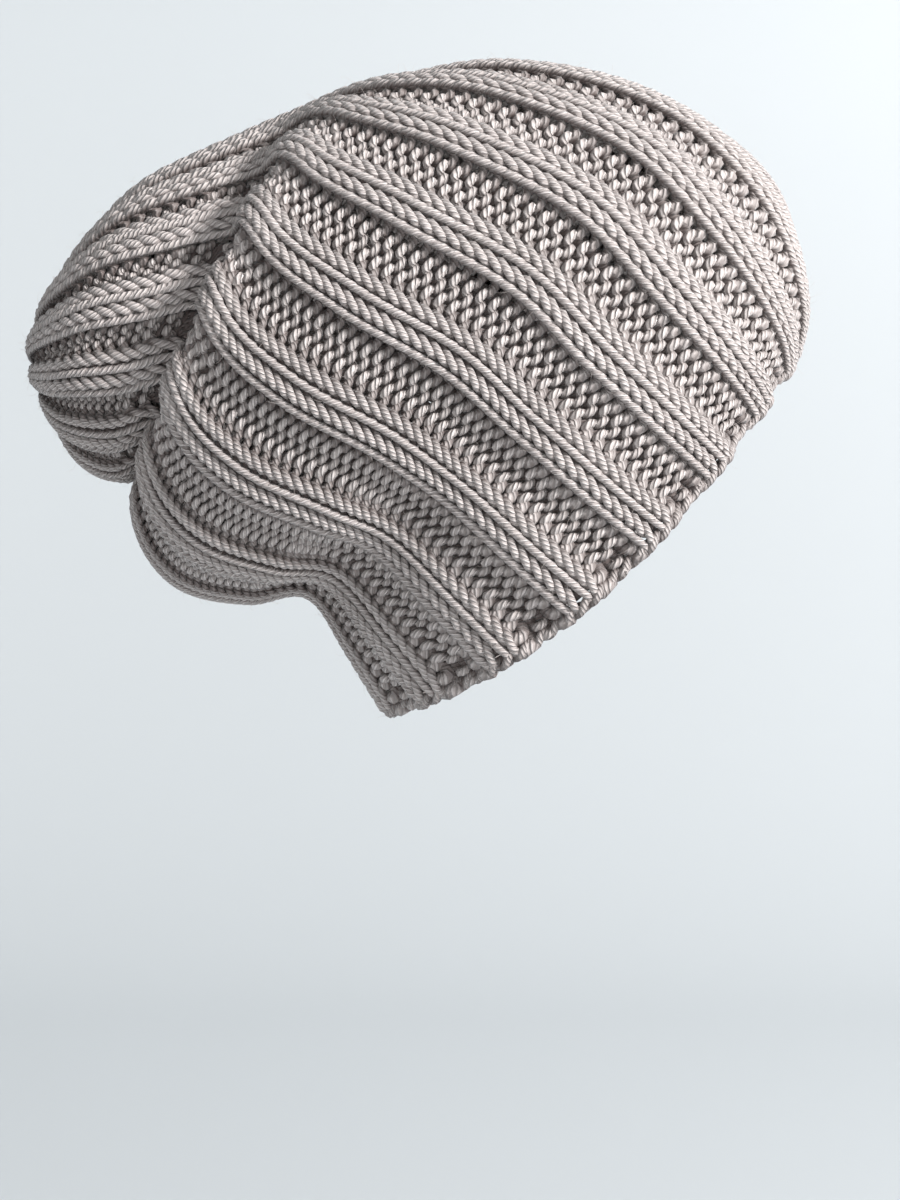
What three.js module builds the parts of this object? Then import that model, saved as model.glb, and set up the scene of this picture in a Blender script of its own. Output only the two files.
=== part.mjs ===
// Slouchy ribbed beanie in the form that it has when worn: one knitted piece, hollow, open at the rim.
// Millimetres. +Z is up, the face side is -Y and the wearer's right is -X.
// The origin is the middle of the rim opening, halfway between brow and nape.
import * as THREE from 'three';

// Driving sizes
const ribRepeats = 18;       // each repeat is two knit wales (a rib) and two purl wales (a valley)
const fabricWall = 4.2;      // thickness of the knitted fabric
const ribTopShare = 0.40;    // share of a repeat that is the flat top of a rib
const valleyShare = 0.34;    // share of a repeat that is the floor of a valley
const ribPhase = -0.1;       // where the first rib lies from the front, in repeats
const courseRows = 34;       // rings of faces from the rim to the last gathered ring
const ringSteps = 288;       // fine steps used to measure the way round a section
const dipSkew = 0.35;        // how much more the rim dips behind the ear than over the brow
const turnCentre = 0.18;     // place round the hat where the fabric is turned most
const outerEnd = 0.985;      // share of the length where the outside is drawn together
const innerEnd = 0.930;      // and where the inside closes, a little before it
const foldPull = 0.035;      // how far the rings are drawn towards the fold, as a share of the length
const foldReach = 0.09;      // and over what share of the length
const normalReach = 0.012;   // step to each side over which the fabric's normal is measured
const gatherSink = 1.5;      // depth of the pucker in the gathered top
const yarnColour = 0xb3a8a4; // warm light grey

// One row for each section, from the rim to the gathered top. Every section is a closed ring through
// a front point and a back point on the middle plane. bow moves its sides towards the top (+) or the
// rim (-), lean moves it to the wearer's left, turn is the twist of the wales in degrees, and ribDepth
// is how far a valley lies below a rib.
const columns = ['frontY', 'frontZ', 'backY', 'backZ', 'halfWidth', 'bow', 'lean', 'turn', 'ribDepth'];
const sections = {
  rim:       [-78.0,  67.0,  78.5, -67.0, 77, -15.0,  0, -20.0, 3.0],
  brow:      [-82.0,  93.5,  94.0, -41.5, 80, -12.5,  0,  -8.5, 4.0],
  temple:    [-70.0, 137.0, 109.0, -20.5, 82,  -9.0,  0,   2.0, 4.5],
  crown:     [-35.0, 167.0, 130.0, -23.0, 83,  -6.0,  0,  -3.0, 4.5],
  slouch:    [ 27.5, 183.0, 159.0, -16.0, 83,  -3.0,  0, -11.0, 4.5],
  rear:      [ 73.0, 178.0, 172.5,   2.0, 81,  -2.0,  0, -20.0, 4.5],
  foldRidge: [ 98.5, 170.0, 174.5,  18.0, 76,   0.0,  0, -29.5, 3.4],
  foldFloor: [112.5, 164.5, 169.5,  26.0, 62,  -2.0,  0, -29.5, 3.2],
  lobeNeck:  [129.0, 157.0, 178.5,  22.5, 65,   2.0,  0, -29.5, 4.0],
  lobe:      [168.0, 137.0, 194.0,  29.5, 61,   6.0,  0, -29.0, 4.0],
  lobeEnd:   [193.0, 108.0, 205.5,  46.5, 43,   8.0,  6, -25.0, 3.2],
  gather:    [204.5,  87.0, 209.0,  56.5, 20,   3.5, 12, -25.0, 1.8],
  top:       [208.5,  72.0, 209.5,  69.0,  2,   0.0, 15, -25.0, 0.8],
};

// How far along the hat each section lies, as a share of the middle length of the fabric
function sectionShares(rows) {
  const step = (a, b, i, j) => Math.hypot(b[i] - a[i], b[j] - a[j]);
  const shares = [0];
  for (let i = 1; i < rows.length; i++) {
    const [a, b] = [rows[i - 1], rows[i]];
    const middleY = (b[0] + b[2] - a[0] - a[2]) / 2;
    const middleZ = (b[1] + b[3] - a[1] - a[3]) / 2;
    const side = Math.hypot(middleY, middleZ, b[4] - a[4]);
    shares.push(shares[i - 1] + (step(a, b, 0, 1) + step(a, b, 2, 3) + 2 * side) / 4);
  }
  return shares.map((share) => share / shares[shares.length - 1]);
}

const rows = Object.values(sections);
const shares = sectionShares(rows);
const sectionCurve = new THREE.CubicInterpolant(shares, rows.flat(), columns.length);

function sectionAt(share) {
  const values = sectionCurve.evaluate(share);
  return Object.fromEntries(columns.map((name, i) => [name, values[i]]));
}

// A point of a section ring; the angle runs from the front point over the wearer's right side
function ringPoint(section, angle) {
  const front = new THREE.Vector3(0, section.frontY, section.frontZ);
  const back = new THREE.Vector3(0, section.backY, section.backZ);
  const half = front.clone().sub(back).multiplyScalar(0.5);
  const towardTop = new THREE.Vector3(0, half.z, -half.y).normalize();
  const across = Math.sin(angle);
  const along = Math.cos(angle);
  const dip = section.bow * across * across * (1 - dipSkew * along);
  const point = front.add(back).multiplyScalar(0.5).addScaledVector(half, along).addScaledVector(towardTop, dip);
  point.x = section.lean - section.halfWidth * across;
  return point;
}

// The ring as a polyline with its running length, so that wales can be spaced evenly along it
function measuredRing(share) {
  const section = sectionAt(share);
  const points = [];
  const lengths = [0];
  for (let i = 0; i <= ringSteps; i++) {
    points.push(ringPoint(section, (2 * Math.PI * i) / ringSteps));
    if (i > 0) lengths.push(lengths[i - 1] + points[i].distanceTo(points[i - 1]));
  }
  return { section, points, lengths };
}

// Where the wale with this share of the stitches lies on the ring
function walePoint(ring, wale) {
  const turned = (ring.section.turn / 360) * (0.5 + 0.5 * Math.cos(2 * Math.PI * (wale - turnCentre)));
  const girth = ring.lengths[ringSteps];
  const goal = THREE.MathUtils.euclideanModulo(wale + turned, 1) * girth;
  let i = 1;
  while (ring.lengths[i] < goal) i++;
  const between = (goal - ring.lengths[i - 1]) / (ring.lengths[i] - ring.lengths[i - 1]);
  return ring.points[i - 1].clone().lerp(ring.points[i], between);
}

// The corners of the ribs: the two edges of each rib top and the two edges of each valley floor
const corners = [];
for (let repeat = 0; repeat < ribRepeats; repeat++) {
  const corner = (place, sunk) => ({ wale: (repeat + place + ribPhase) / ribRepeats, sunk });
  corners.push(corner(-ribTopShare / 2, 0), corner(ribTopShare / 2, 0));
  corners.push(corner(0.5 - valleyShare / 2, 1), corner(0.5 + valleyShare / 2, 1));
}

// One ring of corner points, each moved in along the fabric's normal
function fabricRing(share, wall) {
  const ring = measuredRing(share);
  const before = measuredRing(Math.max(share - normalReach, 0));
  const after = measuredRing(Math.min(share + normalReach, 1));
  return corners.map(({ wale, sunk }) => {
    const alongWale = walePoint(after, wale).sub(walePoint(before, wale));
    const alongCourse = walePoint(ring, wale + normalReach).sub(walePoint(ring, wale - normalReach));
    const outward = alongWale.cross(alongCourse).normalize();
    return walePoint(ring, wale).addScaledVector(outward, -sunk * ring.section.ribDepth - wall);
  });
}

// The rings are set closer together in the fold, where the fabric turns sharply
function ringShares(end) {
  const foldAt = shares[Object.keys(sections).indexOf('foldFloor')];
  const list = [];
  for (let i = 0; i <= courseRows; i++) {
    const share = (end * i) / courseRows;
    const off = (share - foldAt) / foldReach;
    list.push(share - foldPull * off * Math.exp(-off * off));
  }
  return list;
}

function knittedBody() {
  const outer = ringShares(outerEnd).map((share) => fabricRing(share, 0));
  const inner = ringShares(innerEnd).map((share) => fabricRing(share, fabricWall));
  const count = corners.length;
  const points = [...outer.flat(), ...inner.flat()];
  const innerStart = outer.length * count;
  const triangles = [];
  const quad = (a, b, c, d) => triangles.push(a, b, c, a, c, d);
  for (let j = 0; j < count; j++) {
    const next = (j + 1) % count;
    for (let i = 0; i < courseRows; i++) {
      const [low, high] = [i * count, (i + 1) * count];
      quad(low + j, high + j, high + next, low + next);
      quad(innerStart + low + j, innerStart + low + next, innerStart + high + next, innerStart + high + j);
    }
    quad(j, next, innerStart + next, innerStart + j); // rim edge, from outside to inside
  }
  // gathered top outside, and the plain end of the hollow inside
  const middle = (ring) => ring.reduce((sum, p) => sum.add(p), new THREE.Vector3()).divideScalar(count);
  const outerEndRing = outer[courseRows];
  const innerEndRing = inner[courseRows];
  const inward = middle(innerEndRing).sub(middle(outerEndRing)).normalize();
  points.push(middle(outerEndRing).addScaledVector(inward, gatherSink), middle(innerEndRing));
  const outerLast = courseRows * count;
  for (let j = 0; j < count; j++) {
    const next = (j + 1) % count;
    triangles.push(outerLast + j, points.length - 2, outerLast + next);
    triangles.push(innerStart + outerLast + j, innerStart + outerLast + next, points.length - 1);
  }
  const geometry = new THREE.BufferGeometry();
  geometry.setAttribute('position', new THREE.Float32BufferAttribute(points.flatMap((p) => p.toArray()), 3));
  geometry.setIndex(triangles);
  geometry.computeVertexNormals();
  return geometry;
}

const yarn = new THREE.MeshStandardMaterial({ color: yarnColour, roughness: 0.92, metalness: 0 });
const body = new THREE.Mesh(knittedBody(), yarn);
body.name = 'knitted_body';

const beanie = new THREE.Group();
beanie.add(body);

export default beanie;
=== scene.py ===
import math
import random

import bmesh
import bpy
import numpy as np
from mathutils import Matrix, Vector


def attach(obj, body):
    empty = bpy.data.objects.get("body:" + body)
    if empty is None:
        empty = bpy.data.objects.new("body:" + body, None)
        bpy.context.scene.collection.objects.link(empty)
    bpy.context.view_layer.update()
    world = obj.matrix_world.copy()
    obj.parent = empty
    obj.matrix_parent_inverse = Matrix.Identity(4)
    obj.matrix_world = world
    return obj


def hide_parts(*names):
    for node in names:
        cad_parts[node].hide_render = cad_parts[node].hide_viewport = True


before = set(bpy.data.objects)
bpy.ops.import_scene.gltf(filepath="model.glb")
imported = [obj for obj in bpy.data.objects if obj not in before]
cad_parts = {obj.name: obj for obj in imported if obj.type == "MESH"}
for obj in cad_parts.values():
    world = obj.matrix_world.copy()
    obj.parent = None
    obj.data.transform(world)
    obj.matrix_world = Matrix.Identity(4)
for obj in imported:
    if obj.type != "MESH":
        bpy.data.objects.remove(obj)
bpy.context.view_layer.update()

mm = 0.001

# The form of the beanie, the same sizes as the solid in the frame, in mm.
# One row for each section from the rim to the gathered top. Every section is a closed ring through a front
# point and a back point on the middle plane.
form = {
    "dipSkew": 0.35,       # how much more the rim dips behind the ear than over the brow
    "turnCentre": 0.18,    # place round the hat where the fabric is turned most
    "ringSteps": 360,      # steps used to measure the way round a section
    "rows": 640,           # rows of the grid that the yarn is laid on
    "wales": 1152,         # and its places round the hat
    "columns": ["frontY", "frontZ", "backY", "backZ", "halfWidth", "bow", "lean", "turn", "ribDepth"],
    "sections": {
        "rim":       [-78.0,  67.0,  78.5, -67.0, 77, -15.0,  0, -20.0, 3.0],
        "brow":      [-82.0,  93.5,  94.0, -41.5, 80, -12.5,  0,  -8.5, 4.0],
        "temple":    [-70.0, 137.0, 109.0, -20.5, 82,  -9.0,  0,   2.0, 4.5],
        "crown":     [-35.0, 167.0, 130.0, -23.0, 83,  -6.0,  0,  -3.0, 4.5],
        "slouch":    [ 27.5, 183.0, 159.0, -16.0, 83,  -3.0,  0, -11.0, 4.5],
        "rear":      [ 73.0, 178.0, 172.5,   2.0, 81,  -2.0,  0, -20.0, 4.5],
        "foldRidge": [ 98.5, 170.0, 174.5,  18.0, 76,   0.0,  0, -29.5, 3.4],
        "foldFloor": [112.5, 164.5, 169.5,  26.0, 62,  -2.0,  0, -29.5, 3.2],
        "lobeNeck":  [129.0, 157.0, 178.5,  22.5, 65,   2.0,  0, -29.5, 4.0],
        "lobe":      [168.0, 137.0, 194.0,  29.5, 61,   6.0,  0, -29.0, 4.0],
        "lobeEnd":   [193.0, 108.0, 205.5,  46.5, 43,   8.0,  6, -25.0, 3.2],
        "gather":    [204.5,  87.0, 209.0,  56.5, 20,   3.5, 12, -25.0, 1.8],
        "top":       [208.5,  72.0, 209.5,  69.0,  2,   0.0, 15, -25.0, 0.8],
    },
}


def columnOf(values, name):
    return values[..., form["columns"].index(name)]


# How far along the hat each section lies, as a share of the middle length of the fabric
def sectionShares(rows):
    front = np.diff(rows[:, 0:2], axis=0)
    back = np.diff(rows[:, 2:4], axis=0)
    middle = (front + back) / 2
    side = np.linalg.norm(np.column_stack([middle, np.diff(rows[:, 4])]), axis=1)
    steps = (np.linalg.norm(front, axis=1) + np.linalg.norm(back, axis=1) + 2 * side) / 4
    return np.concatenate([[0], np.cumsum(steps)]) / steps.sum()


# The sections between those of the table, on a smooth curve through them
def sectionsAt(wanted):
    rows = np.array(list(form["sections"].values()), float)
    shares = sectionShares(rows)
    gaps = np.diff(shares)
    rises = np.diff(rows, axis=0) / gaps[:, None]
    slopes = np.vstack([rises[:1], (rises[1:] + rises[:-1]) / 2, rises[-1:]])
    i = np.clip(np.searchsorted(shares, wanted) - 1, 0, len(gaps) - 1)
    p = ((wanted - shares[i]) / gaps[i])[:, None]
    gap = gaps[i][:, None]
    return ((2 * p**3 - 3 * p**2 + 1) * rows[i] + (p**3 - 2 * p**2 + p) * gap * slopes[i]
            + (3 * p**2 - 2 * p**3) * rows[i + 1] + (p**3 - p**2) * gap * slopes[i + 1])


# Points of one section ring; the angle runs from the front point over the wearer's right side
def ringPoints(section, angles):
    front = np.array([0, columnOf(section, "frontY"), columnOf(section, "frontZ")])
    back = np.array([0, columnOf(section, "backY"), columnOf(section, "backZ")])
    half = (front - back) / 2
    towardTop = np.array([0, half[2], -half[1]]) / np.linalg.norm(half)
    across = np.sin(angles)
    along = np.cos(angles)
    dip = columnOf(section, "bow") * across**2 * (1 - form["dipSkew"] * along)
    points = (front + back) / 2 + along[:, None] * half + dip[:, None] * towardTop
    points[:, 0] = columnOf(section, "lean") - columnOf(section, "halfWidth") * across
    return points


# The outer face of the ribs as a grid of points and outward normals, one row a share, one column a wale
def layForm():
    shares = np.linspace(0, 1, form["rows"] + 1)
    wales = np.arange(form["wales"]) / form["wales"]
    angles = np.linspace(0, 2 * math.pi, form["ringSteps"] + 1)
    points = np.zeros((len(shares), len(wales), 3))
    nearTurn = 0.5 + 0.5 * np.cos(2 * math.pi * (wales - form["turnCentre"]))
    for k, section in enumerate(sectionsAt(shares)):
        ring = ringPoints(section, angles)
        lengths = np.concatenate([[0], np.cumsum(np.linalg.norm(np.diff(ring, axis=0), axis=1))])
        turned = columnOf(section, "turn") / 360 * nearTurn
        goal = np.mod(wales + turned, 1) * lengths[-1]
        for axis in range(3):
            points[k, :, axis] = np.interp(goal, lengths, ring[:, axis])
    alongWale = np.gradient(points, axis=0)
    alongCourse = np.roll(points, -1, axis=1) - np.roll(points, 1, axis=1)
    normals = np.cross(alongWale, alongCourse)
    normals /= np.maximum(np.linalg.norm(normals, axis=2, keepdims=True), 1e-9)
    girths = np.linalg.norm(alongCourse, axis=2).sum(axis=1) / 2
    rowSteps = np.linalg.norm(alongWale, axis=2, keepdims=True) * form["rows"]
    return points, normals, girths, rowSteps


formPoints, formNormals, formGirths, formRowSteps = layForm()
print("form laid")


# The grid read at any wale (0 to 1 round the hat) and share (0 rim to 1 top)
def readGrid(grid, wale, share):
    x = np.mod(wale, 1) * form["wales"]
    y = np.clip(share, 0, 1) * form["rows"]
    i = np.minimum(x.astype(int), form["wales"] - 1)
    j = np.minimum(y.astype(int), form["rows"] - 1)
    p = (x - i)[:, None]
    q = (y - j)[:, None]
    nextI = (i + 1) % form["wales"]
    low = grid[j, i] * (1 - p) + grid[j, nextI] * p
    high = grid[j + 1, i] * (1 - p) + grid[j + 1, nextI] * p
    return low * (1 - q) + high * q


def smoothStep(value):
    value = np.clip(value, 0, 1)
    return value * value * (3 - 2 * value)


# The knitting, in mm and in shares of a stitch or a row
knit = {
    "repeats": 18,           # each two knit wales, a rib, and two purl wales, a valley
    "rows": 62,              # courses from the rim to the gathered top
    "ribPhase": -0.1,        # where the first rib lies from the front, in repeats
    "firstRow": 1.5,         # the first course lies this far in from the rim, in rows
    "edgeRow": 0.5,          # no loop reaches nearer to the rim than this
    "endRow": 61.8,          # nor nearer to the middle of the gathered top
    "ribShare": 0.5,         # share of the pitch that a rib takes on the body
    "closedRibShare": 0.66,  # and behind the fold, where the ribs draw together
    "closesAt": (0.57, 0.68),    # from where to where along the hat they close
    "closedDepth": 1.3,      # how much deeper the valleys are there
    "knitHeight": 1.0,       # from the middle of a knit loop up to its head, in rows
    "purlHeight": 1.24,      # and of a purl loop
    "flatHead": 0.1,         # how flat the head of a loop is
    "knitBulge": 0.22,       # how far a head swings out past its legs, in stitches
    "purlBulge": 0.16,
    "knitSlant": 0.15,       # how far the twist moves a head one way and its feet the other, in stitches
    "purlTilt": -0.03,       # how far a purl bump's right end is raised, in rows
    "halfDepth": 1.8,        # from the fabric's middle to the yarn in front, in mm
    "plateau": 0.08,         # how long the yarn stays in front before it dives
    "emerge": 0.5,           # how much further forward a leg is at its foot than at its head, in mm
    "rightEmerge": 0.35,     # and how much more so on the right legs
    "faceTurn": 0.5,         # share of a stitch over which knit turns to purl
    "sinkTurn": 1.0,         # and over which the fabric sinks from rib to valley
    "rowHeight": 5.2,        # height of a course where the fabric isn't spread or crowded, in mm
    "steps": 16,             # points on the yarn in one stitch
}

# The yarn, in mm and in shares of its width
yarn = {
    "acrossRadius": 1.75,    # half its width in the fabric
    "normalRadius": 1.7,     # and half its thickness
    "sides": 6,              # sides of its section
    "legWidth": 0.88,        # its width in the legs of a knit stitch
    "legTaper": -0.1,        # less at their ends
    "purlWidth": 0.93,       # its width where a purl pulls it tight
    "diveWidth": -0.15,      # less where it dives between front and back
    "backWidth": 0.18,       # more where it lies loose behind
    "purlBackWidth": 0.2,    # and more again behind a purl
    "webWidth": 0.15,        # more where it crosses from rib to valley
    "webReach": 0.3,         # within about so many stitches of the crossing
    "rimWebWidth": 0.5,      # and more again at the rim, where nothing lies behind
    "rimRows": 20,           # in full for half of so many rows, and faded out after them
    "crowdedWidth": 0.15,    # its width where a stitch would have no room at all
    "leastWidth": 0.58,      # but never less than this
    "tallWidth": 0.12,       # more for each mm that the rows are spread
    "tallRange": (0.9, 1.25),    # but no thinner and no thicker than this
    "steadyPasses": 4,       # passes that keep its section steady where it runs straight in or out
    "shadeFrom": 0.5,        # the painted shade in the gaps is darkest this near to the fabric's middle
    "shadeReach": 2.9,       # and over this depth the painted shade fades to none
}

# Stitches of each kind in a repeat, and the width of the yarn: the crown has fewer and tighter ones
decreases = {
    "body":   {"knits": 2, "purls": 2, "width": 1.0},
    "first":  {"knits": 2, "purls": 1, "width": 0.95},
    "second": {"knits": 1, "purls": 1, "width": 0.9},
    "last":   {"knits": 1, "purls": 0, "width": 0.8},
}


# Where a place in the repeats (in stitches, knit first) lies round the hat
def waleOf(place, knits, purls, ribShare):
    each = knits + purls
    repeat = np.floor(place / each)
    inside = place - repeat * each
    if purls == 0:
        return (repeat + inside / each - 0.5 + knit["ribPhase"]) / knit["repeats"]
    rib = inside / knits * ribShare - ribShare / 2
    valley = ribShare / 2 + (inside - knits) / purls * (1 - ribShare)
    return (repeat + np.where(inside < knits, rib, valley) + knit["ribPhase"]) / knit["repeats"]


# How far places lie out of the rib, in stitches; less than nothing on a rib
def ribDistance(place, knits, purls):
    each = knits + purls
    return np.abs(np.mod(place - knits / 2 + each / 2, each) - each / 2) - knits / 2


# Share of the way that the ribs have closed, and the depth of the valleys, at a row
def ribsAt(row):
    share = row / knit["rows"]
    opensAt, closesAt = knit["closesAt"]
    closed = smoothStep((share - opensAt) / (closesAt - opensAt))
    depth = columnOf(sectionsAt(np.array([share]))[0], "ribDepth")
    deeper = 1 + (knit["closedDepth"] - 1) * closed
    return knit["ribShare"] + (knit["closedRibShare"] - knit["ribShare"]) * closed, depth * deeper


# A strand laid on the form: its points, the fabric's normals, its width and its depth below the face
def layStrand(wale, rowPlace, depth, sunkBy, width):
    points = readGrid(formPoints, wale, rowPlace / knit["rows"])
    normals = readGrid(formNormals, wale, rowPlace / knit["rows"])
    return {"points": points - normals * (depth + sunkBy)[:, None], "normals": normals, "width": width,
            "depth": depth}


# The yarn of one course: loops on a closed ring. In front are the legs of a knit stitch, and the head and
# the foot of a purl stitch.
def coursePath(row, knits, purls, stageWidth):
    each = knits + purls
    place = np.arange(knit["repeats"] * each * knit["steps"]) / knit["steps"]
    turn = 2 * math.pi * (place - np.floor(place) - 0.5)

    fromRib = ribDistance(place, knits, purls) if purls else np.full(len(place), -1.0)
    sunk = smoothStep(fromRib / knit["sinkTurn"] + 0.5)
    isPurl = smoothStep(fromRib / knit["faceTurn"] + 0.5)
    face = 1 - 2 * isPurl
    ribShare, ribDepth = ribsAt(row + knit["firstRow"])

    bulge = knit["knitBulge"] * (1 - isPurl) + knit["purlBulge"] * isPurl
    slant = knit["knitSlant"] * (1 - isPurl)
    wale = waleOf(place + bulge * np.sin(2 * turn) - slant * np.cos(turn), knits, purls, ribShare)

    flat = knit["flatHead"]
    height = knit["knitHeight"] * (1 - isPurl) + knit["purlHeight"] * isPurl
    height = height * (np.cos(turn) - flat * np.cos(3 * turn)) / (1 - flat)
    height = height - knit["purlTilt"] * isPurl * np.sin(2 * turn)
    rowPlace = np.clip(row + knit["firstRow"] + height, knit["edgeRow"], knit["endRow"])

    wave = (np.cos(2 * turn) - knit["plateau"] * np.cos(6 * turn)) / (1 - knit["plateau"])
    middle = yarn["normalRadius"] + knit["halfDepth"]
    emerge = knit["emerge"] - knit["rightEmerge"] * (1 - isPurl) * np.sin(turn)
    depth = middle + face * (knit["halfDepth"] * wave + emerge * np.cos(turn))

    front = -face * wave        # 1 in front, -1 behind
    web = np.exp(-(fromRib / yarn["webReach"]) ** 2)
    leg = yarn["legWidth"] - 1 + yarn["legTaper"] * (1 - np.abs(front))
    inLeg = smoothStep(1.5 * front + 1)    # 0 behind, 1 from the middle of the fabric on
    width = 1 + (yarn["purlWidth"] - 1) * isPurl + leg * (1 - isPurl) * inLeg
    width = width + yarn["diveWidth"] * isPurl * (1 - np.abs(front)) * (1 - web)
    width = width + (yarn["backWidth"] + yarn["purlBackWidth"] * isPurl) * smoothStep(-front)
    webWidth = yarn["webWidth"] + yarn["rimWebWidth"] * min(max(2 - 2 * row / yarn["rimRows"], 0), 1)
    width = width + webWidth * web * smoothStep(1 - front)

    pitch = np.interp(row + knit["firstRow"], np.linspace(0, knit["rows"], form["rows"] + 1), formGirths)
    pitch = pitch / knit["repeats"]
    knitRoom = pitch * ribShare / knits / 2
    purlRoom = pitch * (1 - ribShare) / purls / 2 if purls else knitRoom
    room = knitRoom * (1 - isPurl) + purlRoom * isPurl
    width = width * np.clip(yarn["crowdedWidth"] + room / (2 * yarn["acrossRadius"]), yarn["leastWidth"], 1)
    rowHeight = readGrid(formRowSteps, wale, rowPlace / knit["rows"])[:, 0] / knit["rows"]
    width = width * np.clip(1 + yarn["tallWidth"] * (rowHeight - knit["rowHeight"]), *yarn["tallRange"])
    return layStrand(wale, rowPlace, depth, ribDepth * sunk, width * stageWidth)


# The cast-on edge, two strands twisted round each other
castOn = {
    "row": 0.6,              # the middle of the edge lies this far in from the rim, in rows
    "rowHeight": 4.8,        # height of a course there, in mm
    "twistRadius": 1.15,     # from the middle of the edge to the middle of a strand, in mm
    "stitchesPerTwist": 1.5,
    "yarnShare": 0.4,        # yarn that it takes for each stitch, as a share of a stitch's yarn
    "width": 0.9,
}


# One of the two strands of the edge
def castOnPath(strand):
    knits, purls = decreases["body"]["knits"], decreases["body"]["purls"]
    place = np.arange(knit["repeats"] * (knits + purls) * knit["steps"]) / knit["steps"]
    turn = 2 * math.pi * place / castOn["stitchesPerTwist"] + math.pi * strand
    ribShare, ribDepth = ribsAt(castOn["row"])
    rowPlace = castOn["row"] + castOn["twistRadius"] * np.cos(turn) / castOn["rowHeight"]
    depth = yarn["normalRadius"] + knit["halfDepth"] - castOn["twistRadius"] * np.sin(turn)
    sunk = smoothStep(ribDistance(place, knits, purls) / knit["sinkTurn"] + 0.5)
    wale = waleOf(place, knits, purls, ribShare)
    return layStrand(wale, rowPlace, depth, ribDepth * sunk, np.full(len(place), castOn["width"]))


# The strand that draws the last stitches together
closing = {
    "rows": (61.2, 61.6, 62.0),    # where each of its turns lies
    "steps": 96,             # points on a turn
    "depth": 2.4,            # below the face, in mm
    "weaves": 9,             # times that a turn goes in and out
    "weaveDepth": 0.5,       # to each side, in mm
    "yarnShare": 1.0,        # yarn that a whole turn takes, as a share of a stitch's yarn
    "width": 0.8,
}


def closingPath(row):
    count = closing["steps"]
    place = np.arange(count) / count
    depth = closing["depth"] + closing["weaveDepth"] * np.cos(2 * math.pi * closing["weaves"] * place)
    return layStrand(place, np.full(count, row), depth, np.zeros(count), np.full(count, closing["width"]))


# Adds a node with its settings and links
def addNode(tree, kind, inputs=None, **settings):
    node = tree.nodes.new(kind)
    for name, value in settings.items():
        setattr(node, name, value)
    for name, value in (inputs or {}).items():
        if isinstance(value, bpy.types.NodeSocket):
            tree.links.new(value, node.inputs[name])
        else:
            node.inputs[name].default_value = value
    return node


# Sweeps an oval section along every closed edge loop of a mesh, flat side to the fabric
def yarnSweep():
    tree = bpy.data.node_groups.new("yarnSweep", "GeometryNodeTree")
    tree.interface.new_socket("Geometry", in_out="INPUT", socket_type="NodeSocketGeometry")
    tree.interface.new_socket("Geometry", in_out="OUTPUT", socket_type="NodeSocketGeometry")
    path = addNode(tree, "NodeGroupInput")
    curve = addNode(tree, "GeometryNodeMeshToCurve", {"Mesh": path.outputs[0]})
    across = addNode(tree, "GeometryNodeInputNamedAttribute", {"Name": "yarnNormal"},
                     data_type="FLOAT_VECTOR")
    steady = addNode(tree, "GeometryNodeSetCurveNormal",
                     {"Curve": curve.outputs[0], "Normal": across.outputs[0]}, mode="FREE")
    circle = addNode(tree, "GeometryNodeCurvePrimitiveCircle", {"Resolution": yarn["sides"], "Radius": 1.0})
    oval = addNode(tree, "GeometryNodeTransform", {
        "Geometry": circle.outputs[0],
        "Rotation": (0, 0, math.pi),        # the seam of the UV map lies on the yarn's inner side
        "Scale": Vector((yarn["normalRadius"], yarn["acrossRadius"], 1)) * mm})
    width = addNode(tree, "GeometryNodeInputNamedAttribute", {"Name": "yarnWidth"}, data_type="FLOAT")
    tube = addNode(tree, "GeometryNodeCurveToMesh", {
        "Curve": steady.outputs[0],
        "Profile Curve": oval.outputs[0],
        "Scale": width.outputs[0]})
    soft = addNode(tree, "GeometryNodeSetShadeSmooth", {"Geometry": tube.outputs[0]})
    addNode(tree, "NodeGroupOutput", {"Geometry": soft.outputs[0]})
    return tree


sweepTree = yarnSweep()


# The fabric's normals turned square to a strand, and kept steady where it runs straight in or out
def acrossStrand(path):
    along = np.roll(path["points"], -1, axis=0) - np.roll(path["points"], 1, axis=0)
    along /= np.linalg.norm(along, axis=1, keepdims=True)
    across = path["normals"] - along * np.sum(path["normals"] * along, axis=1, keepdims=True)
    for _ in range(yarn["steadyPasses"]):
        across = (np.roll(across, 1, axis=0) + 2 * across + np.roll(across, -1, axis=0)) / 4
        across = across - along * np.sum(across * along, axis=1, keepdims=True)
    return across / np.linalg.norm(across, axis=1, keepdims=True)


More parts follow.
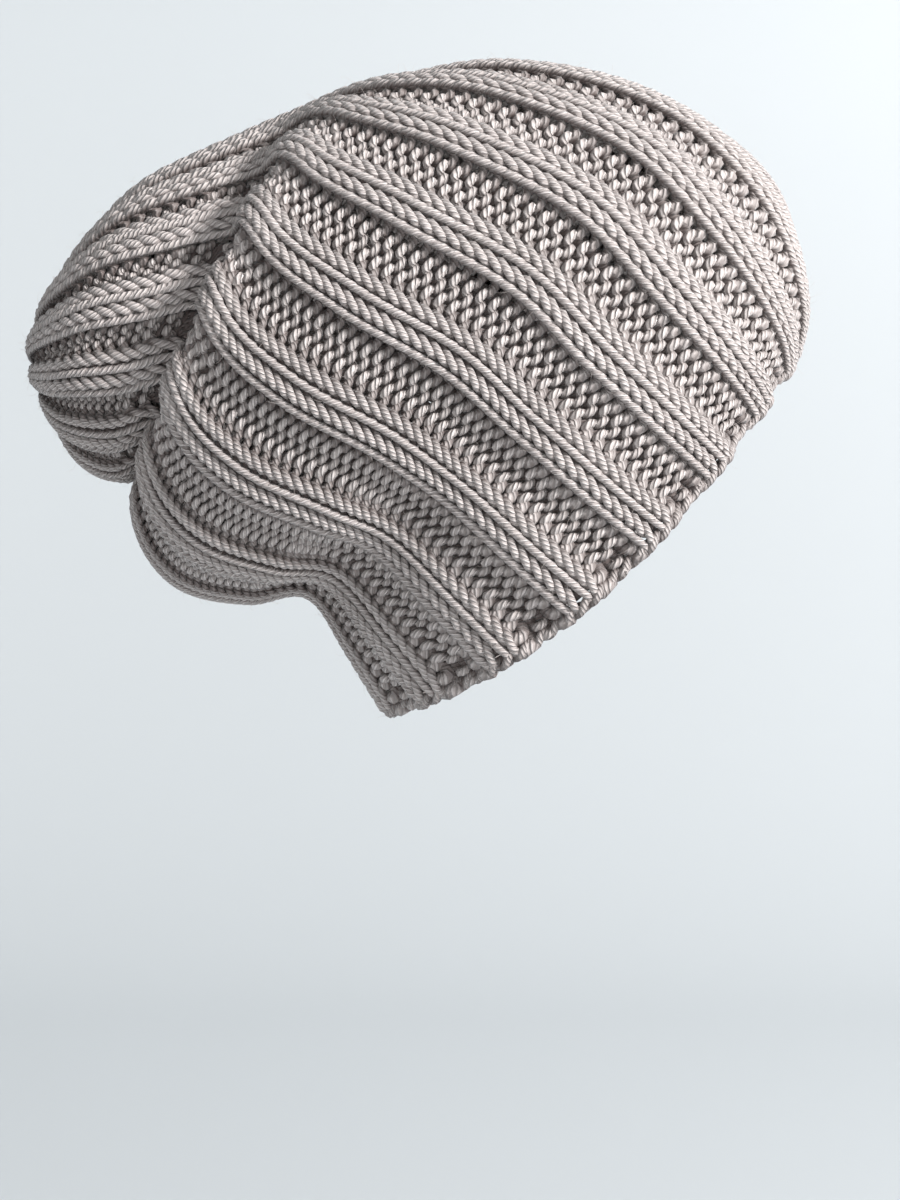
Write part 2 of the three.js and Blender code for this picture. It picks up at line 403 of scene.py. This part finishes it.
# A piece made of closed strands of yarn
def yarnPiece(name, paths):
    points = np.vstack([path["points"] for path in paths])
    normals = np.vstack([path["normals"] for path in paths])
    edges = []
    start = 0
    for path in paths:
        n = len(path["points"])
        edges += [(start + i, start + (i + 1) % n) for i in range(n)]
        start += n
    line = bpy.data.meshes.new(name)
    line.from_pydata((points * mm).tolist(), edges, [])
    attribute = line.attributes.new("yarnNormal", "FLOAT_VECTOR", "POINT")
    attribute.data.foreach_set("vector", np.vstack([acrossStrand(path) for path in paths]).ravel())
    attribute = line.attributes.new("yarnWidth", "FLOAT", "POINT")
    attribute.data.foreach_set("value", np.concatenate([path["width"] for path in paths]))
    piece = bpy.data.objects.new(name, line)
    bpy.context.scene.collection.objects.link(piece)
    sweep = piece.modifiers.new("sweep", "NODES")
    sweep.node_group = sweepTree
    swept = bpy.data.meshes.new_from_object(piece.evaluated_get(bpy.context.evaluated_depsgraph_get()))
    piece.modifiers.clear()
    piece.data = swept
    piece.data.name = name
    labelYarn(piece, [path["points"] for path in paths])

    # how deep in the gaps each vertex lies, for the painted shade that darkens the gaps in the material
    spots = np.zeros(len(swept.vertices) * 3)
    swept.vertices.foreach_get("co", spots)
    spots = spots.reshape(-1, 3) / mm
    fromStrand = spots - np.repeat(points, yarn["sides"], axis=0)
    outward = np.sum(fromStrand * np.repeat(normals, yarn["sides"], axis=0), axis=1)
    depth = np.repeat(np.concatenate([path["depth"] for path in paths]), yarn["sides"]) - outward
    fromMiddle = np.abs(depth - yarn["normalRadius"] - knit["halfDepth"])
    shade = 1 - smoothStep((fromMiddle - yarn["shadeFrom"]) / yarn["shadeReach"])
    attribute = swept.attributes.new("gapShade", "FLOAT", "POINT")
    attribute.data.foreach_set("value", shade)
    return piece


yarnMap = {
    "name": "OFBake",
    "shelves": 4,            # strips that one strand is cut into on the UV map
}


# UV map of a piece: u runs along the yarn in a strip, v round it
def labelYarn(piece, strands):
    sides = yarn["sides"]
    mesh = piece.data
    corner = np.zeros(len(mesh.loops), int)
    mesh.loops.foreach_get("vertex_index", corner)
    corner = corner.reshape(-1, 4)
    shelves = yarnMap["shelves"]
    total = len(strands) * shelves
    uv = np.zeros((len(corner), 4, 2))
    start = 0
    for strand, points in enumerate(strands):
        n = len(points)
        steps = np.linalg.norm(np.roll(points, -1, axis=0) - points, axis=1)
        run = np.concatenate([[0], np.cumsum(steps)])
        faces = np.arange(start * sides, (start + n) * sides)
        ring = corner[faces] // sides - start
        side = corner[faces] % sides
        faceRing = np.repeat(np.arange(n), sides)[:, None]
        faceSide = np.tile(np.arange(sides), n)[:, None]
        ring = np.where(ring < faceRing, ring + n, ring)
        side = np.where(side < faceSide, side + sides, side)
        perShelf = n // shelves
        shelf = np.minimum(faceRing // perShelf, shelves - 1)
        begin, end = run[shelf * perShelf], run[(shelf + 1) * perShelf]
        uv[faces, :, 0] = (run[ring] - begin) / (end - begin)
        uv[faces, :, 1] = (strand * shelves + shelf + side / sides) / total
        start += n
    layer = mesh.uv_layers.new(name=yarnMap["name"])
    layer.data.foreach_set("uv", uv.ravel())
    piece["shelfCount"] = total


# A colour as the shader takes it, from its hex code in sRGB
def linear(hexColour):
    channels = [int(hexColour[i:i + 2], 16) / 255 for i in (1, 3, 5)]
    return [c / 12.92 if c <= 0.04045 else ((c + 0.055) / 1.055) ** 2.4 for c in channels] + [1]


yarnFinish = {
    "light": "#dcd4d1",      # tops of the plies: painted highlight; also the light end of the streaks and slow tone changes
    "dark": "#857a76",       # grooves between them: painted shade; also the dark end of the streaks and slow tone changes
    "gap": "#3a2722",        # painted shade deep between the loops
    "gapShadeStrength": 0.85,
    "plies": 4,
    "twistsPerStitch": 4.9,  # turns of the ply bundle in one stitch's length of yarn
    "drift": 0.15,           # how unevenly it is twisted, in turns
    "driftSize": 4.545,      # over such lengths, in mm
    "plyEdges": (-1.2, 1.1),    # the groove and the top of a ply, where a wave across it goes from -1 to 1
    "streakScale": (3.3, 0.8, 0.0),    # streaks to a ply across it, along the yarn, and none between strips
    "toneSize": 22.22,       # of the slow changes of tone, in mm
    "plyShare": 0.45,        # what plies (painted highlight on their tops, painted shade in their grooves), streaks (fibre tone, partly a painted silky highlight) and slow changes add to the light tone
    "streakShare": 0.5,
    "toneShare": 0.3,
    "grooveDepth": 0.6,      # mm
    "fibreDepth": 0.12,      # mm
    "roughness": 0.55,
    "sheen": 0.25,
    "sheenRoughness": 0.4,
}


# Bulky wool blend, four plies twisted hard: a low silky shine on each ply. Painted shade darkens the gaps
# between its loops to a reddish brown, where the wool takes in the light
def pliedYarn(shelfCount, stitchesPerShelf):
    material = bpy.data.materials.new("plied_wool_yarn")
    material.use_nodes = True
    tree = material.node_tree
    tree.nodes.clear()
    finish = yarnFinish
    uv = addNode(tree, "ShaderNodeUVMap", uv_map=yarnMap["name"])
    parts = addNode(tree, "ShaderNodeSeparateXYZ", {"Vector": uv.outputs[0]})
    place = addNode(tree, "ShaderNodeTexCoord")

    # across the plies: a wave that winds round the yarn; it paints a highlight on each ply's top and shade
    # in its grooves
    shelf = addNode(tree, "ShaderNodeMath", {0: parts.outputs["Y"], 1: float(shelfCount)},
                    operation="MULTIPLY")
    twists = addNode(tree, "ShaderNodeMath",
                     {0: parts.outputs["X"], 1: float(stitchesPerShelf * finish["twistsPerStitch"])},
                     operation="MULTIPLY")
    turned = addNode(tree, "ShaderNodeMath", {0: shelf.outputs[0], 1: twists.outputs[0]}, operation="ADD")
    uneven = addNode(tree, "ShaderNodeTexNoise", {
        "Vector": place.outputs["Object"],
        "Scale": 1 / (finish["driftSize"] * mm),
        "Detail": 1.0})
    drift = addNode(tree, "ShaderNodeMath",
                    {0: uneven.outputs[0], 1: finish["drift"], 2: turned.outputs[0]},
                    operation="MULTIPLY_ADD")
    phase = addNode(tree, "ShaderNodeMath", {0: drift.outputs[0], 1: float(finish["plies"])},
                    operation="MULTIPLY")
    angle = addNode(tree, "ShaderNodeMath", {0: phase.outputs[0], 1: 2 * math.pi}, operation="MULTIPLY")
    wave = addNode(tree, "ShaderNodeMath", {0: angle.outputs[0]}, operation="COSINE")
    groove, top = finish["plyEdges"]
    ply = addNode(tree, "ShaderNodeMapRange",
                  {"Value": wave.outputs[0], "From Min": groove, "From Max": top},
                  interpolation_type="SMOOTHSTEP")

    # streaks of fibres along the plies, partly a painted silky highlight, and slow changes of tone
    streakPlace = addNode(tree, "ShaderNodeCombineXYZ",
                          {"X": phase.outputs[0], "Y": twists.outputs[0], "Z": shelf.outputs[0]})
    streakScale = addNode(tree, "ShaderNodeMapping",
                          {"Vector": streakPlace.outputs[0], "Scale": finish["streakScale"]})
    streak = addNode(tree, "ShaderNodeTexNoise",
                     {"Vector": streakScale.outputs[0], "Scale": 1.0, "Detail": 2.0, "Roughness": 0.6})
    tone = addNode(tree, "ShaderNodeTexNoise", {
        "Vector": place.outputs["Object"],
        "Scale": 1 / (finish["toneSize"] * mm),
        "Detail": 2.0,
        "Roughness": 0.5})
    fromPlies = addNode(tree, "ShaderNodeMath", {0: ply.outputs[0], 1: finish["plyShare"]},
                        operation="MULTIPLY")
    fromStreaks = addNode(tree, "ShaderNodeMath",
                          {0: streak.outputs[0], 1: finish["streakShare"], 2: fromPlies.outputs[0]},
                          operation="MULTIPLY_ADD")
    lit = addNode(tree, "ShaderNodeMath",
                  {0: tone.outputs[0], 1: finish["toneShare"], 2: fromStreaks.outputs[0]},
                  operation="MULTIPLY_ADD")
    # the yarn's colour from dark to light: painted shade in the ply grooves, painted highlight on the ply
    # tops and streaks, and random tone
    colour = addNode(tree, "ShaderNodeMix", {
        "Factor": lit.outputs[0],
        "A": linear(finish["dark"]),
        "B": linear(finish["light"])}, data_type="RGBA")
    # painted shade: darkens the gaps between the loops towards reddish brown, by their depth in the fabric
    inGap = addNode(tree, "ShaderNodeAttribute", attribute_name="gapShade")
    gapPart = addNode(tree, "ShaderNodeMath", {0: inGap.outputs["Fac"], 1: finish["gapShadeStrength"]},
                      operation="MULTIPLY")
    shaded = addNode(tree, "ShaderNodeMix", {
        "Factor": gapPart.outputs[0],
        "A": colour.outputs["Result"],
        "B": linear(finish["gap"])}, data_type="RGBA")

    # relief of the plies, with the fibres on it
    plyBump = addNode(tree, "ShaderNodeBump",
                      {"Distance": finish["grooveDepth"] * mm, "Height": ply.outputs[0]})
    bump = addNode(tree, "ShaderNodeBump", {
        "Distance": finish["fibreDepth"] * mm,
        "Height": streak.outputs[0],
        "Normal": plyBump.outputs[0]})
    shader = addNode(tree, "ShaderNodeBsdfPrincipled", {
        "Base Color": shaded.outputs["Result"],
        "Roughness": finish["roughness"],
        "Sheen Weight": finish["sheen"],
        "Sheen Roughness": finish["sheenRoughness"],
        "Normal": bump.outputs[0]})
    addNode(tree, "ShaderNodeOutputMaterial", {"Surface": shader.outputs[0]})
    return material


def placePiece(piece):
    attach(piece, "root")
    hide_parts("knitted_body")
    print(piece.name, sum(len(face.vertices) - 2 for face in piece.data.polygons), "triangles")


# Pieces of the knitting by courses, none with two kinds of decrease
bands = {
    "rim_courses":     (0, 14, "body"),
    "head_courses":    (14, 28, "body"),
    "slouch_courses":  (28, 42, "body"),
    "fold_courses":    (42, 53, "body"),
    "crown_courses":   (53, 56, "first"),
    "gather_courses":  (56, 58, "second"),
    "last_courses":    (58, 60, "last"),
}
knitted = []
for name, (first, last, stage) in bands.items():
    knits = decreases[stage]["knits"]
    purls = decreases[stage]["purls"]
    width = decreases[stage]["width"]
    piece = yarnPiece(name, [coursePath(row, knits, purls, width) for row in range(first, last)])
    stitches = knit["repeats"] * (knits + purls)
    piece.data.materials.append(pliedYarn(piece["shelfCount"], stitches / yarnMap["shelves"]))
    placePiece(piece)
    knitted.append(piece)

edge = yarnPiece("cast_on_edge", [castOnPath(0), castOnPath(1)])
stitches = knit["repeats"] * (decreases["body"]["knits"] + decreases["body"]["purls"]) * castOn["yarnShare"]
edge.data.materials.append(pliedYarn(edge["shelfCount"], stitches / yarnMap["shelves"]))
placePiece(edge)
knitted.append(edge)

closer = yarnPiece("closing_strand", [closingPath(row) for row in closing["rows"]])
closer.data.materials.append(pliedYarn(closer["shelfCount"], closing["yarnShare"] / yarnMap["shelves"]))
placePiece(closer)


fibres = {
    "count": 7000,
    "seed": 7,
    "length": (1.5, 4.5),    # mm
    "lift": (0.3, 0.9),      # how far they stand off the yarn, as a share of their length
    "curl": 0.7,             # how far they bend sideways, in the same way
    "openShade": 0.35,       # none grow where the painted gap shade is stronger than this
    "archTurn": 0.6,         # part of a half turn of a wave that they rise over: they arch back a little
    "taper": 0.6,            # how much thinner the tip is than the root
    "radius": 0.04,          # mm
    "points": 4,
    "colour": "#c9bfba",
    "roughness": 0.6,
}


# Loose fibres that stand off the yarn, as short bent hairs
def strayFibres():
    dice = random.Random(fibres["seed"])
    hairs = bpy.data.curves.new("stray_fibres", "CURVE")
    hairs.dimensions = "3D"
    hairs.bevel_depth = fibres["radius"] * mm
    hairs.bevel_resolution = 0
    sizes = [len(piece.data.vertices) for piece in knitted]
    while len(hairs.splines) < fibres["count"]:
        mesh = dice.choices(knitted, sizes)[0].data
        root = dice.randrange(len(mesh.vertices))
        if mesh.attributes["gapShade"].data[root].value > fibres["openShade"]:
            continue
        outward = mesh.vertices[root].normal
        lift = dice.uniform(*fibres["lift"])
        length = dice.uniform(*fibres["length"]) * mm
        sideways = Vector([dice.gauss(0, 1) for _ in range(3)])
        sideways = (sideways - outward * sideways.dot(outward)).normalized()
        curl = sideways.cross(outward) * dice.uniform(-1, 1) * fibres["curl"]
        spline = hairs.splines.new("POLY")
        spline.points.add(fibres["points"] - 1)
        for k, point in enumerate(spline.points):
            p = k / (fibres["points"] - 1)
            rise = lift * math.sin(fibres["archTurn"] * math.pi * p)
            spot = mesh.vertices[root].co + length * (sideways * p + outward * rise + curl * p * p)
            point.co = (*spot, 1)
            point.radius = 1 - fibres["taper"] * p
    model = bpy.data.objects.new("stray_fibres", hairs)
    bpy.context.scene.collection.objects.link(model)
    mesh = bpy.data.meshes.new_from_object(model.evaluated_get(bpy.context.evaluated_depsgraph_get()))
    bpy.data.objects.remove(model)
    piece = bpy.data.objects.new("stray_fibres", mesh)
    bpy.context.scene.collection.objects.link(piece)
    return piece


# Single wool fibres: pale and shiny, so that they show only as a faint halo at the edges
def looseFibre():
    material = bpy.data.materials.new("loose_wool_fibre")
    material.use_nodes = True
    shader = material.node_tree.nodes["Principled BSDF"]
    shader.inputs["Base Color"].default_value = linear(fibres["colour"])
    shader.inputs["Roughness"].default_value = fibres["roughness"]
    return material


fuzz = strayFibres()
fuzz.data.materials.clear()
fuzz.data.materials.append(looseFibre())
placePiece(fuzz)


# Studio, in metres: pale floor and wall, soft light and the camera
studio = {
    "cameraPlace": (-0.800, 0.05396, -0.0205),
    "cameraAxis": (1, 0, 0),
    "lens": 63.15,
    "floorHeight": -0.268,
    "floorStart": -5,
    "wallPlace": 1.25,
    "wallTop": 3,
    "halfWidth": 4,
    "cove": 0.8,             # radius of the bend from floor to wall
    "coveSteps": 24,
    "paint": "#cdd2d5",
    "paintRoughness": 0.6,
    "roomLight": "#eef3f6",
    "roomStrength": 0.32,
    "middle": (0, 0.06, 0.05),    # of the beanie
    "wallSpot": (1.25, 0.4, 0.1),
}

# Soft boxes: where they stand, what they face, their size, power and colour
softBoxes = {
    "window":    ((-1.35, -2.0, 0.95), studio["middle"], 0.65, 118, "#fffdfc"),
    "reflector": ((-1.4, 0.2, -0.14), studio["middle"], 0.8, 5.6, "#fffdfc"),
    "wallLamp":  ((0.5, 1.1, 0.4), studio["wallSpot"], 0.5, 2.2, "#fefdfb"),
}


def softBox(name, place, aim, size, power, colour):
    light = bpy.data.lights.new(name, "AREA")
    light.shape = "SQUARE"
    light.size = size
    light.energy = power
    light.color = linear(colour)[:3]
    lamp = bpy.data.objects.new(name, light)
    lamp.location = place
    lamp.rotation_mode = "QUATERNION"
    lamp.rotation_quaternion = (Vector(aim) - Vector(place)).to_track_quat("-Z", "Y")
    bpy.context.scene.collection.objects.link(lamp)


# Matt wall paint, pale and cool, so that the wool looks warm against it
def palePaint():
    material = bpy.data.materials.new("pale_paint")
    material.use_nodes = True
    shader = material.node_tree.nodes["Principled BSDF"]
    shader.inputs["Base Color"].default_value = linear(studio["paint"])
    shader.inputs["Roughness"].default_value = studio["paintRoughness"]
    return material


# Floor and wall as one sheet, bent where they meet
def backdrop():
    cove = studio["cove"]
    middleX = studio["wallPlace"] - cove
    middleZ = studio["floorHeight"] + cove
    profile = [(studio["floorStart"], studio["floorHeight"])]
    for k in range(studio["coveSteps"] + 1):
        angle = math.pi / 2 * k / studio["coveSteps"]
        profile.append((middleX + cove * math.sin(angle), middleZ - cove * math.cos(angle)))
    profile.append((studio["wallPlace"], studio["wallTop"]))
    sheetMesh = bmesh.new()
    right = [sheetMesh.verts.new((x, -studio["halfWidth"], z)) for x, z in profile]
    left = [sheetMesh.verts.new((x, studio["halfWidth"], z)) for x, z in profile]
    for k in range(len(profile) - 1):
        sheetMesh.faces.new((right[k], right[k + 1], left[k + 1], left[k])).smooth = True
    mesh = bpy.data.meshes.new("floor_and_wall")
    sheetMesh.to_mesh(mesh)
    sheetMesh.free()
    mesh.materials.append(palePaint())
    sheet = bpy.data.objects.new("floor_and_wall", mesh)
    bpy.context.scene.collection.objects.link(sheet)


def buildStudio():
    backdrop()
    world = bpy.data.worlds.new("studio")
    bpy.context.scene.world = world
    world.use_nodes = True
    background = world.node_tree.nodes["Background"]
    background.inputs["Color"].default_value = linear(studio["roomLight"])
    background.inputs["Strength"].default_value = studio["roomStrength"]
    bpy.context.scene.view_settings.view_transform = "Standard"
    for name, (place, aim, size, power, colour) in softBoxes.items():
        softBox(name, place, aim, size, power, colour)

    lens = bpy.data.cameras.new("camera")
    lens.lens = studio["lens"]
    lens.clip_start = 0.01
    camera = bpy.data.objects.new("camera", lens)
    camera.location = studio["cameraPlace"]
    camera.rotation_mode = "QUATERNION"
    camera.rotation_quaternion = Vector(studio["cameraAxis"]).to_track_quat("-Z", "Y")
    bpy.context.scene.collection.objects.link(camera)
    bpy.context.scene.camera = camera


buildStudio()
print("studio built")
